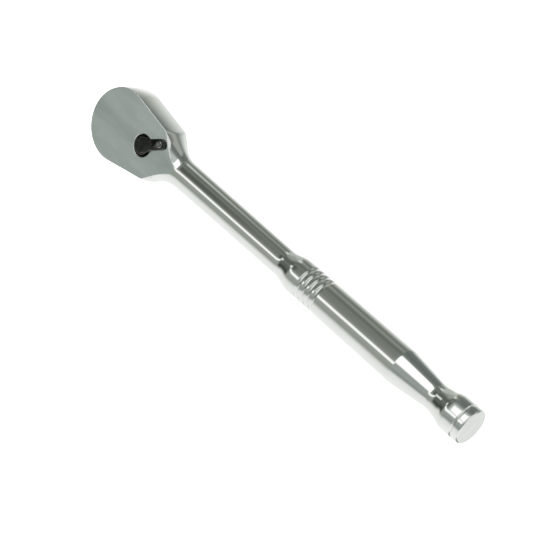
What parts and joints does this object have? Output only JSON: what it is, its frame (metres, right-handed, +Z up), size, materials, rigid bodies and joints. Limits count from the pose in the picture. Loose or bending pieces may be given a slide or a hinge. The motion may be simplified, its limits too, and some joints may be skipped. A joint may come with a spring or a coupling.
{
  "type": "ratchet wrench",
  "caption": "Pear-head ratchet wrench with a square drive, a reversing thumb lever on its flat face and a round polished handle that ends in a knob.",
  "frame": {"origin": "centre of the square drive's end face", "axes": "+Z up the drive axis, from the square drive to the face that carries the lever; +X along the handle from the drive axis to the knob"},
  "size_m": [0.216, 0.032, 0.0258],
  "materials": {
    "polished_chrome": "mirror-polished chrome plate, with the two flat faces of the head a little duller",
    "satin_steel": "satin",
    "drive_steel": "satin plated, with a fine machined grain",
    "pawl_steel": "hardened, dark satin",
    "spring_steel": "bright satin",
    "black_oxide": "oiled black oxide, semi-gloss",
    "black_rubber": "matte"
  },
  "bodies": {
    "handle": {"handle_forging": "polished_chrome", "cover_plate": "satin_steel", "cover_seal": "black_rubber", "cover_screw_1": "black_oxide", "cover_screw_2": "black_oxide", "cover_screw_3": "black_oxide", "thrust_washer": "spring_steel", "pawl_pin": "spring_steel"},
    "drive": {"drive_gear": "drive_steel", "drive_seal": "black_rubber", "detent_spring": "spring_steel"},
    "ball": {"detent_ball": "spring_steel"},
    "pawl": {"pawl": "pawl_steel"},
    "lever": {"reverse_lever": "black_oxide", "lever_seal": "black_rubber", "lever_retaining_ring": "spring_steel", "plunger_spring": "spring_steel"},
    "plunger": {"plunger": "spring_steel"}
  },
  "joints": [
    {"name": "drive_spin", "type": "hinge", "parent": "handle", "child": "drive", "pos_m": [0, 0, 0.0173], "axis": [0, 0, 1], "continuous": true},
    {"name": "ball_press", "type": "slide", "parent": "drive", "child": "ball", "axis": [0, -1, 0], "range_m": [0, 0.0008], "stiffness_N_per_m": 600, "springref_m": -0.001, "deforming": ["detent_spring"]},
    {"name": "lever_turn", "type": "hinge", "parent": "handle", "child": "lever", "pos_m": [0.0152, 0, 0.0236], "axis": [0, 0, 1], "range_deg": [-70, 0]},
    {"name": "pawl_rock", "type": "hinge", "parent": "handle", "child": "pawl", "pos_m": [0.01055, 0, 0.0167], "axis": [0, 0, 1], "range_deg": [0, 9.2]},
    {"name": "plunger_press", "type": "slide", "parent": "lever", "child": "plunger", "axis": [0.8192, 0.5736, 0], "range_m": [0, 0.0004], "stiffness_N_per_m": 300, "springref_m": -0.001, "deforming": ["plunger_spring"]}
  ],
  "couplings": [
    {"joint": "pawl_rock", "follows": "lever_turn", "ratio": -0.1314}
  ]
}
